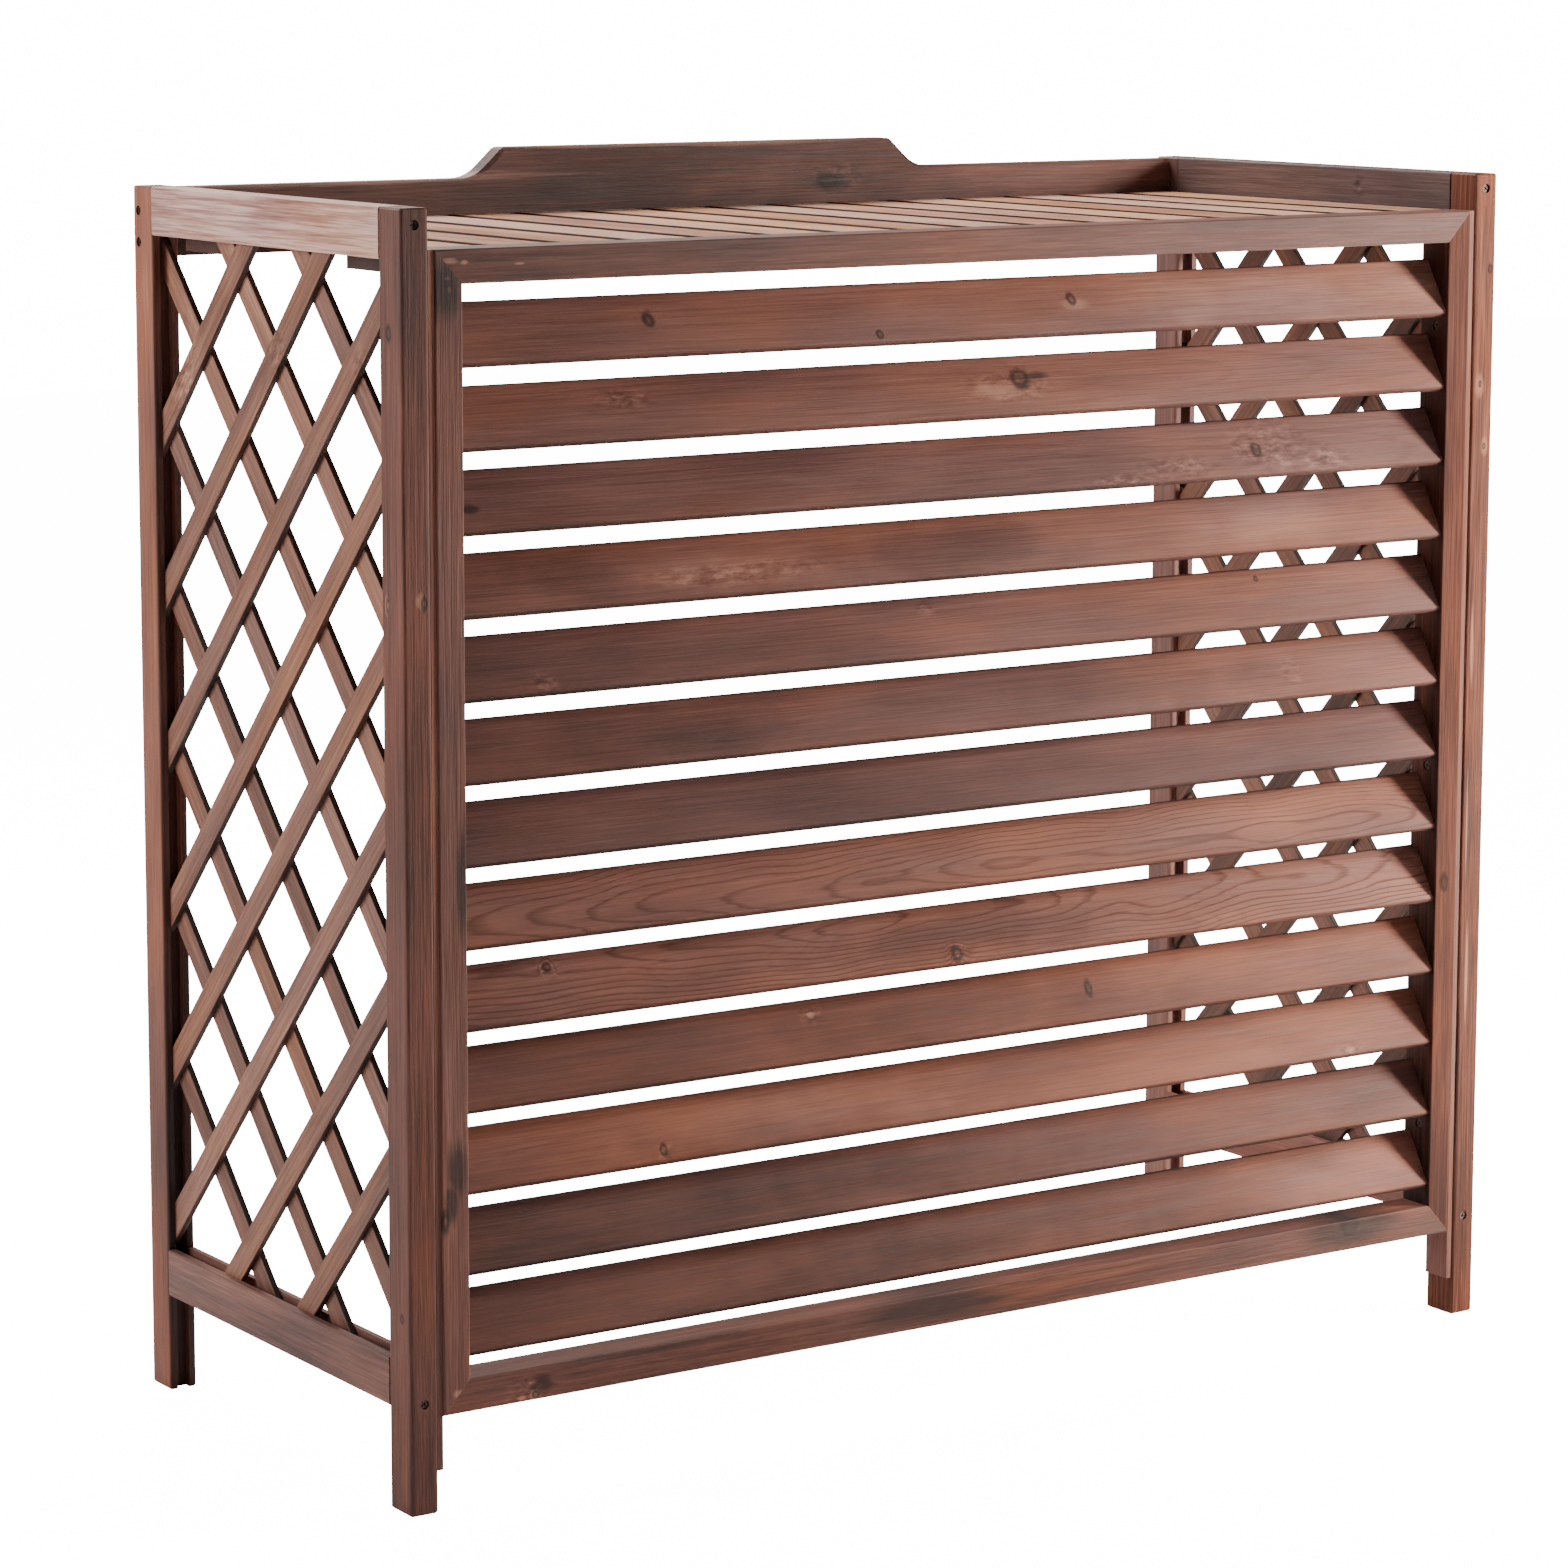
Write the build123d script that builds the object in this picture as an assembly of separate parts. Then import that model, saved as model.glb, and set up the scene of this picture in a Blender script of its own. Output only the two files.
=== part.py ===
from build123d import *
from math import atan2, cos, degrees, hypot, radians, sin
import os

# Slatted timber screen that stands over an outdoor air conditioner unit.
# Sizes are millimetres. X runs along the front, Y from front to back, Z up.
# The origin is on the ground under the middle of the screen.

# Overall size, over the four posts
width = 1100.0
depth = 450.0
height = 1024.0

# Posts, with the groove that takes the lattice
post_width = 25.0
post_depth = 34.0
post_edge_round = 3.0
post_end_ease = 1.5
groove_outer_lip = 7.0
groove_width = 11.5
groove_depth = 8.0

# Side rails, as thick as the posts are wide
rail_height = 40.0
rail_ground_gap = 83.0
rail_edge_round = 2.0

# Lattice laths, in two layers that cross
lath_width = 22.5
lath_thickness = 5.5
lath_run = 127.0
lath_rise = 135.0
lath_corner = 60.0
lath_end_gap = 0.5

# Louvre panel frame, mitred at its corners
frame_rail_face = 27.0
stile_face = 24.5
frame_bottom = 77.5
frame_drop = 32.0
frame_edge_round = 1.5
strip_thickness = 5.0
strip_depth = 28.0
strip_recess = 1.5
strip_ground_gap = 34.0

# Louvre slats, housed in slanted grooves in the stiles
slat_pitch = 65.0
slat_width = 54.0
slat_thickness = 9.5
slat_edge_round = 3.0
slat_tilt = 60.0
slat_recess = 2.5
housing_depth = 8.0
housing_gap = 0.2
housing_corner_share = 0.58

# Deck boards and the two battens under them
deck_count = 16
deck_gap = 5.0
deck_edge_ease = 1.2
batten_width = 60.0
batten_thickness = 12.0
batten_inset = 24.0
batten_end_gap = 0.5

# Backboard, with a raised crest between two ogee shoulders
backboard_thickness = 20.0
backboard_height = 57.0
backboard_drop = 1.5
crest_rise = 26.0
crest_foot = 246.0
cove_radius = 35.0
crest_round = 8.0
shoulder_slope = 42.0
backboard_edge_ease = 3.5

# Wood screws, with their heads sunk below the face, drawn with a few flat sides
screw_sides = 12
screw_shank = 4.0
screw_head = 8.0
screw_head_height = 2.5
screw_sink = 1.5
screw_tip = 3.0
screw_gap = 0.1
rail_screw_length = 50.0
rail_screw_drop = 13.0
rail_screw_lift = 7.0
frame_screw_length = 45.0
backboard_screw_length = 50.0
backboard_screw_lift = 12.0
backboard_screw_spacing = 26.0

# How far a cutting shape runs past what it cuts
overrun = 10.0

# Places that follow from the sizes
x_out = width / 2
x_in = x_out - post_width
y_front = -depth / 2
y_back = depth / 2
y_panel = depth / 2 - post_depth
groove_outside = x_out - groove_outer_lip
groove_inside = groove_outside - groove_width
top_rail_bottom = height - rail_height
bottom_rail_top = rail_ground_gap + rail_height
frame_top = height - frame_drop
frame_x = x_in - strip_thickness
opening_x = frame_x - stile_face
opening_bottom = frame_bottom + frame_rail_face
opening_top = frame_top - frame_rail_face
frame_back = y_front + post_depth
backboard_front = y_back - backboard_thickness
backboard_top = height - backboard_drop
backboard_bottom = backboard_top - backboard_height

# Patterns that fill the space they are given
slat_count = int((opening_top - opening_bottom) / slat_pitch)
panel_middle = (bottom_rail_top + top_rail_bottom) / 2
panel_reach = (top_rail_bottom - bottom_rail_top) / 2 + y_panel * lath_rise / lath_run
lath_count = 2 * int((panel_reach - lath_corner) / lath_rise + 1 / 2)
batten_y = y_panel - batten_inset - batten_width / 2


def block(low, high):
    """Box from its low corner to its high corner."""
    size = [b - a for a, b in zip(low, high)]
    return Pos(*low) * Box(*size, align=(Align.MIN, Align.MIN, Align.MIN))


def mirrored_x(body):
    return body.mirror(Plane.YZ)


def half_turned(body):
    return Rot(Z=180) * body


def save(name, solids):
    """One STEP file per node, from one solid or a list of them."""
    bodies = [s for body in solids for s in body.solids()]
    node = bodies[0] if len(bodies) == 1 else Compound(children=bodies)
    node.label = name
    export_step(node, os.path.join("parts", name + ".step"))


# Screws are drawn with the head's face towards +Z of the plane they enter
def prism(diameter, grow, top, bottom):
    outline = RegularPolygon(diameter / 2 + grow, screw_sides)
    return Pos(0, 0, bottom) * extrude(outline, amount=top - bottom)


def screw(plane, length):
    neck = -screw_sink - screw_head_height
    head = prism(screw_head, 0, -screw_sink, neck)
    shank = prism(screw_shank, 0, neck, screw_tip - length)
    tip_start = RegularPolygon(screw_shank / 2, screw_sides)
    tip_end = RegularPolygon(screw_gap, screw_sides)
    tip = loft([Pos(0, 0, screw_tip - length) * tip_start, Pos(0, 0, -length) * tip_end], ruled=True)
    return plane.location * (head + shank + tip)


def screw_hole(plane, length):
    """Counterbore for the head and a hole for the shank."""
    head = prism(screw_head, screw_gap, 0, -screw_sink - screw_head_height)
    shank = prism(screw_shank, screw_gap, 0, -length - screw_gap)
    return plane.location * (head + shank)


def entry(place, outward):
    return Plane(origin=place, z_dir=outward)


# Rail screws go through the posts into the rail ends, on both ends of a side
rail_screw_x = x_out - post_width / 2
rail_screw_heights = (height - rail_screw_drop, rail_ground_gap + rail_screw_lift)
front_rail_entries = [entry((rail_screw_x, y_front, z), (0, -1, 0)) for z in rail_screw_heights]
back_rail_entries = [entry((rail_screw_x, y_back, z), (0, 1, 0)) for z in rail_screw_heights]

# Frame screws go from a stile's inner edge, between two slats, into the post
opening_middle = (opening_bottom + opening_top) / 2
top_slat_z = opening_middle + slat_pitch * (slat_count - 1) / 2
strip_middle = y_front + strip_recess + strip_depth / 2
frame_screw_gaps = (0, slat_count // 2, slat_count - 2)
frame_entries = [
    entry((opening_x, strip_middle, top_slat_z - slat_pitch * (gap + 1 / 2)), (-1, 0, 0))
    for gap in frame_screw_gaps
]

# Backboard screws go through the outer face of a back post into the board's end
backboard_screw_z = backboard_bottom + backboard_screw_lift
backboard_entries = [
    entry((x_out, y_back - backboard_thickness / 2, z), (1, 0, 0))
    for z in (backboard_screw_z, backboard_screw_z + backboard_screw_spacing)
]


def rail_holes(entries):
    return [screw_hole(plane, rail_screw_length) for plane in entries]


def frame_holes():
    return [screw_hole(plane, frame_screw_length) for plane in frame_entries]


def backboard_holes():
    return [screw_hole(plane, backboard_screw_length) for plane in backboard_entries]


# Posts
def right_post(y_outer, holes):
    """Post with eased edges and ends, grooved on the face towards the lattice."""
    end = 1 if y_outer > 0 else -1
    y_inner = end * y_panel
    body = block((x_in, min(y_outer, y_inner), 0), (x_out, max(y_outer, y_inner), height))
    body = fillet(body.edges().filter_by(Axis.Z), post_edge_round)
    ends = body.edges().group_by(Axis.Z)
    body = chamfer(ends[0] + ends[-1], post_end_ease)
    y_cut = (y_inner - end * overrun, y_inner + end * groove_depth)
    groove = block((groove_inside, min(y_cut), -overrun), (groove_outside, max(y_cut), height + overrun))
    return body - groove - holes


# Side rails
def right_rail(bottom, groove_z):
    """Rail between the posts, grooved along the edge towards the lattice."""
    body = block((x_in, -y_panel, bottom), (x_out, y_panel, bottom + rail_height))
    body = fillet(body.edges().filter_by(Axis.Y), rail_edge_round)
    groove = block(
        (groove_inside, -y_panel - overrun, min(groove_z)),
        (groove_outside, y_panel + overrun, max(groove_z)),
    )
    return body - groove - rail_holes(front_rail_entries) - rail_holes(back_rail_entries)


# Lattice: one layer of parallel laths, cut to the rectangle of the grooves
def right_laths(x_low, rises_to_back):
    reach = groove_depth - lath_end_gap
    field = block(
        (x_low, -y_panel - reach, bottom_rail_top - reach),
        (x_low + lath_thickness, y_panel + reach, top_rail_bottom + reach),
    )
    slope = degrees(atan2(lath_rise, lath_run))
    turn = slope if rises_to_back else -slope
    stock = Box(lath_thickness, hypot(depth, height), lath_width)
    laths = []
    for index in range(lath_count):
        z = panel_middle + lath_rise * ((lath_count - 1) / 2 - index)
        lath = Pos(x_low + lath_thickness / 2, 0, z) * Rot(X=turn) * stock
        laths.append(lath & field)
    return laths


# Louvre frame: each member is a trapezoid whose ends are the mitres
def frame_member(corners, along):
    face_plane = Plane(origin=(0, y_front, 0), x_dir=(1, 0, 0), z_dir=(0, -1, 0))
    face = face_plane * make_face(Polyline(*corners, close=True))
    body = extrude(face, amount=-post_depth)
    front_edges = body.edges().filter_by(along).group_by(Axis.Y)[0]
    return fillet(front_edges, frame_edge_round)


def frame_rail(z_outer, z_inner):
    corners = [(-frame_x, z_outer), (frame_x, z_outer), (opening_x, z_inner), (-opening_x, z_inner)]
    return frame_member(corners, Axis.X)


def right_stile():
    corners = [
        (frame_x, frame_bottom),
        (frame_x, frame_top),
        (opening_x, opening_top),
        (opening_x, opening_bottom),
    ]
    housings = [slat_housing(z) for z in slat_heights()]
    return frame_member(corners, Axis.Z) - housings - frame_holes()


# Louvre slats lean back at the top, so rain runs off to the front
def slat_heights():
    return [top_slat_z - slat_pitch * index for index in range(slat_count)]


def slat_bar(end_reach, grow):
    """Bar across the opening, let into the stiles and grown by a gap."""
    length = 2 * (opening_x + end_reach)
    return Box(length, slat_width + 2 * grow, slat_thickness + 2 * grow)


def at_slat(z):
    tilt = radians(slat_tilt)
    flat_width = slat_width / 2 - slat_edge_round
    flat_thickness = slat_thickness / 2 - slat_edge_round
    half_depth = flat_width * cos(tilt) + flat_thickness * sin(tilt) + slat_edge_round
    return Pos(0, y_front + slat_recess + half_depth, z) * Rot(X=slat_tilt)


def louvre_slat(z):
    body = slat_bar(housing_depth - housing_gap, 0)
    return at_slat(z) * fillet(body.edges().filter_by(Axis.X), slat_edge_round)


def slat_housing(z):
    """Slanted pocket for a slat's end, with its corners cut straight across."""
    body = slat_bar(housing_depth, housing_gap)
    corner = housing_corner_share * (slat_edge_round + housing_gap)
    return at_slat(z) * chamfer(body.edges().filter_by(Axis.X), corner)


def right_strip():
    low = (frame_x, y_front + strip_recess, strip_ground_gap)
    high = (x_in, y_front + strip_recess + strip_depth, frame_top)
    return block(low, high) - frame_holes()


# Deck boards run front to back, level with the top of the louvre frame
def deck_board(index):
    pitch = 2 * x_in / deck_count
    x = -x_in + pitch * (index + 1 / 2)
    half = (pitch - deck_gap) / 2
    body = block((x - half, frame_back, top_rail_bottom), (x + half, backboard_front, frame_top))
    return chamfer(body.edges().filter_by(Axis.Y).group_by(Axis.Z)[-1], deck_edge_ease)


# Battens reach under the inner lips of the top side rails
def deck_batten(y):
    x = groove_inside - batten_end_gap
    low = (-x, y - batten_width / 2, top_rail_bottom - batten_thickness)
    high = (x, y + batten_width / 2, top_rail_bottom)
    return block(low, high)


def backboard():
    """Board between the back posts; each shoulder is a cove, a slope and a round."""
    slope = radians(shoulder_slope)
    curved_rise = (cove_radius + crest_round) * (1 - cos(slope))
    cove = JernArc((-crest_foot, backboard_top), (1, 0), cove_radius, shoulder_slope)
    ramp = PolarLine(cove @ 1, (crest_rise - curved_rise) / sin(slope), shoulder_slope)
    shoulder = JernArc(ramp @ 1, ramp % 1, crest_round, -shoulder_slope)
    crest_start = shoulder @ 1
    crest = Line(crest_start, (-crest_start.X, crest_start.Y))
    left_side = [cove, ramp, shoulder]
    right_side = [mirror(line, about=Plane.YZ) for line in left_side]
    rest = Polyline(
        (-crest_foot, backboard_top),
        (-x_in, backboard_top),
        (-x_in, backboard_bottom),
        (x_in, backboard_bottom),
        (x_in, backboard_top),
        (crest_foot, backboard_top),
    )
    outline = Curve() + [*left_side, crest, *right_side, rest]
    back_plane = Plane(origin=(0, y_back, 0), x_dir=(1, 0, 0), z_dir=(0, -1, 0))
    body = extrude(back_plane * make_face(outline), amount=backboard_thickness)
    front_edges = body.edges().group_by(Axis.Y)[0]
    top_edges = front_edges.filter_by(lambda edge: edge.center().Z > backboard_top - overrun)
    level_or_curved = top_edges.filter_by(lambda edge: not is_upright(edge))
    body = chamfer(level_or_curved, backboard_edge_ease)
    holes = backboard_holes()
    return body - holes - [mirrored_x(hole) for hole in holes]


def is_upright(edge):
    return abs((edge % 0).Z) == 1


os.makedirs("parts", exist_ok=True)

# Right and left pieces are mirror images, but the lattices are one panel, half turned
front_post = right_post(y_front, rail_holes(front_rail_entries) + frame_holes())
back_post = right_post(y_back, rail_holes(back_rail_entries) + backboard_holes())
top_rail = right_rail(top_rail_bottom, (top_rail_bottom - overrun, top_rail_bottom + groove_depth))
bottom_rail = right_rail(rail_ground_gap, (bottom_rail_top - groove_depth, bottom_rail_top + overrun))
layer_gap = (groove_width - 2 * lath_thickness) / 2
inner_laths = right_laths(groove_inside + layer_gap, False)
outer_laths = right_laths(groove_inside + layer_gap + lath_thickness, True)
for name, laths in (("{}_inner_laths", inner_laths), ("{}_outer_laths", outer_laths)):
    save(name.format("right"), laths)
    save(name.format("left"), [half_turned(lath) for lath in laths])

for name, solids in (
    ("front_{}_post", [front_post]),
    ("back_{}_post", [back_post]),
    ("{}_top_rail", [top_rail]),
    ("{}_bottom_rail", [bottom_rail]),
    ("louvre_frame_{}_stile", [right_stile()]),
    ("{}_packing_strip", [right_strip()]),
):
    save(name.format("right"), solids)
    save(name.format("left"), [mirrored_x(solid) for solid in solids])

save("louvre_frame_top_rail", [frame_rail(frame_top, opening_top)])
save("louvre_frame_bottom_rail", [frame_rail(frame_bottom, opening_bottom)])
for number, z in enumerate(slat_heights(), 1):
    save(f"louvre_slat_{number:02d}", [louvre_slat(z)])
for index in range(deck_count):
    save(f"deck_slat_{index + 1:02d}", [deck_board(index)])
save("deck_front_batten", [deck_batten(-batten_y)])
save("deck_rear_batten", [deck_batten(batten_y)])
save("backboard", [backboard()])

for name, entries, length in (
    ("rail_screws", front_rail_entries + back_rail_entries, rail_screw_length),
    ("frame_screws", frame_entries, frame_screw_length),
    ("backboard_screws", backboard_entries, backboard_screw_length),
):
    right = [screw(plane, length) for plane in entries]
    save(name, right + [mirrored_x(body) for body in right])
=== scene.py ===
from math import atan2, cos, hypot, pi, radians, sin

import bmesh
import bpy
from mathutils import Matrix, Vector


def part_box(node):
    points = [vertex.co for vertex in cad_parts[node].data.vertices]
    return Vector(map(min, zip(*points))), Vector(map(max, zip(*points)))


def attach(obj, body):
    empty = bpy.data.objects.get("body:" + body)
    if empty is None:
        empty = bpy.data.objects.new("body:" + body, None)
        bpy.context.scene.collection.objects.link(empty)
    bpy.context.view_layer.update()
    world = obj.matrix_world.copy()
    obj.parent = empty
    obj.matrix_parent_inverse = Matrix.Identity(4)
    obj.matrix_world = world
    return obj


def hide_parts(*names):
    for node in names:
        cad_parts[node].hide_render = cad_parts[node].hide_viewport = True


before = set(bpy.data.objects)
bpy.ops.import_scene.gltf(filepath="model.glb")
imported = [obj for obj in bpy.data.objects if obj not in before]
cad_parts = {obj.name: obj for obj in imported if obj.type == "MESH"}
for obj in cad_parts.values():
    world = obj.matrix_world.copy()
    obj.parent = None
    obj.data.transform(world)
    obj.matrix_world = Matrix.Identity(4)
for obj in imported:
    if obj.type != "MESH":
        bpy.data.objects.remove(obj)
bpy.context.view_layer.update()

mm = 0.001  # every size below is in mm unless its note says otherwise
print("frame loaded:", len(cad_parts), "nodes")


def linearColour(hexText):
    # sRGB hex to the linear values that the shaders take
    parts = [int(hexText[i:i + 2], 16) / 255 for i in (1, 3, 5)]
    linear = [c / 12.92 if c <= 0.04045 else ((c + 0.055) / 1.055) ** 2.4 for c in parts]
    return (*linear, 1)


def addNode(tree, kind, inputs=(), **settings):
    # adds a node, sets or links its inputs by name or in order, and gives back its first output
    node = tree.nodes.new(kind)
    for name, value in settings.items():
        setattr(node, name, value)
    for key, value in inputs.items() if isinstance(inputs, dict) else enumerate(inputs):
        socket = node.inputs[key]
        if isinstance(value, bpy.types.NodeSocket):
            tree.links.new(value, socket)
        else:
            socket.default_value = value
    return node.outputs[0] if node.outputs else node


def addInputs(tree, sockets):
    for label, kind, value in sockets:
        socket = tree.interface.new_socket(label, in_out="INPUT", socket_type=kind)
        if value is not None:
            socket.default_value = value
    return addNode(tree, "NodeGroupInput").node.outputs


def toMetres(values):
    return tuple(v * mm for v in values)


def linkToScene(thing):
    bpy.context.scene.collection.objects.link(thing)
    return thing


# Camera and light
cameraFit = {
    "place": (-2388, -3487, 1216),
    "turn": (81.626, 0, -33.035),  # degrees
    "lens": 113.42,
    "sensor": 36,
    "shift": (0.0444, -0.0674),  # shares of the frame
    "reach": 60,  # metres
}
cameraData = bpy.data.cameras.new("photoCamera")
cameraData.lens = cameraFit["lens"]
cameraData.sensor_width = cameraFit["sensor"]
cameraData.shift_x, cameraData.shift_y = cameraFit["shift"]
cameraData.clip_end = cameraFit["reach"]
camera = linkToScene(bpy.data.objects.new("photoCamera", cameraData))
camera.location = toMetres(cameraFit["place"])
camera.rotation_euler = [radians(a) for a in cameraFit["turn"]]
bpy.context.scene.camera = camera

studio = {
    "keyHigh": {
        "place": (1700, -1080, 1200), "aim": (330, -225, 700),
        "size": (330, 900), "watts": 62, "colour": "#FFF4EA",
    },
    "keyLow": {
        "place": (1000, -560, 230), "aim": (400, -225, 250),
        "size": (190, 600), "watts": 10.5, "colour": "#FFEEDD",
    },
    "leftFill": {
        "place": (-3300, 1100, 1500), "aim": (-500, 0, 700),
        "size": (1800, 1800), "watts": 104, "colour": "#FFF9F4",
    },
    "topFill": {
        "place": (100, 1900, 3100), "aim": (0, 0, 950),
        "size": (1800, 1800), "watts": 150, "colour": "#FFF7F0",
    },
}
for name, lamp in studio.items():
    data = bpy.data.lights.new(name, "AREA")
    data.shape = "RECTANGLE"
    data.size, data.size_y = toMetres(lamp["size"])
    data.energy = lamp["watts"]
    data.color = linearColour(lamp["colour"])[:3]
    light = linkToScene(bpy.data.objects.new(name, data))
    light.location = toMetres(lamp["place"])
    aim = Vector(toMetres(lamp["aim"])) - light.location
    light.rotation_euler = aim.to_track_quat("-Z", "Y").to_euler()

# The backdrop is brighter to the eye than its light on the wood
backdrop = {
    "white": (1, 1, 1, 1), "seen": 16.0, "lit": 0.11,
    "paper": "#F4F4F4", "floorGlow": 15.0, "halfFloor": 9000, "floorDrop": 0.4,
}
world = bpy.data.worlds.new("paleStudio")
world.use_nodes = True
sky = world.node_tree
sky.nodes.clear()
cameraRay = addNode(sky, "ShaderNodeLightPath").node.outputs["Is Camera Ray"]
litGlow, seenGlow = [
    addNode(sky, "ShaderNodeBackground", {"Color": backdrop["white"], "Strength": backdrop[part]})
    for part in ("lit", "seen")
]
glow = addNode(sky, "ShaderNodeMixShader", (cameraRay, litGlow, seenGlow))
addNode(sky, "ShaderNodeOutputWorld", {"Surface": glow})
bpy.context.scene.world = world

half = backdrop["halfFloor"] * mm
low = -backdrop["floorDrop"] * mm
floorCorners = [(x * half, y * half, low) for x, y in ((-1, -1), (1, -1), (1, 1), (-1, 1))]
floorMesh = bpy.data.meshes.new("studioFloor")
floorMesh.from_pydata(floorCorners, [], [(0, 1, 2, 3)])
studioFloor = linkToScene(bpy.data.objects.new("studioFloor", floorMesh))
paper = bpy.data.materials.new("mattBackdropPaper")  # rolled paper, no gloss
paper.use_nodes = True
paperTree = paper.node_tree
paperTree.nodes.clear()
paperFace = addNode(paperTree, "ShaderNodeBsdfDiffuse", {"Color": linearColour(backdrop["paper"])})
paperGlow = addNode(paperTree, "ShaderNodeEmission", {"Strength": backdrop["floorGlow"]})
paperBright = addNode(paperTree, "ShaderNodeAddShader", (paperFace, paperGlow))
paperRay = addNode(paperTree, "ShaderNodeLightPath").node.outputs["Is Camera Ray"]
paperMix = addNode(paperTree, "ShaderNodeMixShader", (paperRay, paperFace, paperBright))
addNode(paperTree, "ShaderNodeOutputMaterial", {"Surface": paperMix})
floorMesh.materials.append(paper)
print("camera, light and floor set")


# Charred and brushed softwood. The burn browns the face, the brush takes out soft earlywood,
# so dark latewood lines stand up a little, knots are darker, and worn edges are paler.
charredPine = {
    "tones": (
        (0.0, "#221714"), (0.22, "#482C25"), (0.42, "#6E463A"),
        (0.6, "#8E6050"), (0.8, "#B28673"), (1.0, "#D6B3A2"),
    ),
    "warm": "#D0B7A2",  # soft light towards orange where the burn was light
    "cool": "#B2B9CC",  # and towards grey violet in older char
    "knot": "#1E120E",
    "latewood": "#4A2419",  # late growth of each year, hard and dark red
    "char": "#201414",
    "pale": "#C08A74",  # scuffed through to fresher wood
    "ior": 1.5,
    "bump": {"Strength": 0.7, "Distance": 0.0007},  # metres
    "fibres": {  # lengths along and across the fibres, then detail and roughness of the noise
        "burn": (230, 60, 2, 0.55),
        "streaks": (170, 4.2, 3, 0.6),
        "lines": (60, 1.7, 3, 0.65),
        "hue": (210, 50, 2, 0.55),
        "wander": (130, 60, 1, 0.55),
        "figure": (15, 6, 3, 0.7),
        "knotEdge": (12, 8, 3, 0.55),
        "rubbed": (40, 9, 3, 0.55),
    },
    "seedStep": (3.1, 1.7, 2.3),
    "burnSwing": 0.4,
    "toneSwings": {  # each with the input that scales it
        "streaks": (0.36, "Contrast"), "lines": (0.36, "Contrast"), "figure": (1.3, "Burl"),
    },
    "hueSwings": {"hue": 1.9, "burn": 0.7},
    "knotSwing": 1.6,
    "patchSwing": 1.6,
    "ringSpacing": 3.6,
    "ringShade": 0.62,
    "ringSway": (0.015, 0.002),  # metres, from slow and from fine noise
    "pithAside": ((0.6, 0.04, 0), (-0.3, -0.02, 0)),  # metres along and across, reach and start
    "pithStretch": (0.06, 1, 1),
    "wearRadius": 1.6,
    "wearLift": 0.22,
    "heights": {"lines": 0.7, "streaks": 0.9, "ring": 0.5, "rim": 0.5},
    "ranges": {  # a value's two ends, and what they become
        "pithDepth": (0, 1, 0.045, 0.006),  # metres, for faint and for strong rings
        "knotBend": (0, 4, 1.3, 0),  # rings bend round a knot
        "lateStart": (0.62, 0.9, 0, 1),  # shares of one year's ring
        "lateEnd": (0.9, 1.0, 1, 0),
        "arris": (0.99, 0.8, 0, 1),  # cosine of the turn at an edge
        "rubbed": (0.45, 0.7, 0, 1),
        "pale": (0.25, 1.0, 0, 0.6),
        "char": (0.25, 0.9, 0, 0.8),
        "knotRim": (1.9, 0.9, 0, 0.8),
        "knotCore": (0.85, 0.3, 0, 0.4),
        "roughness": (0.3, 0.7, 0.5, 0.72),
    },
}


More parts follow.
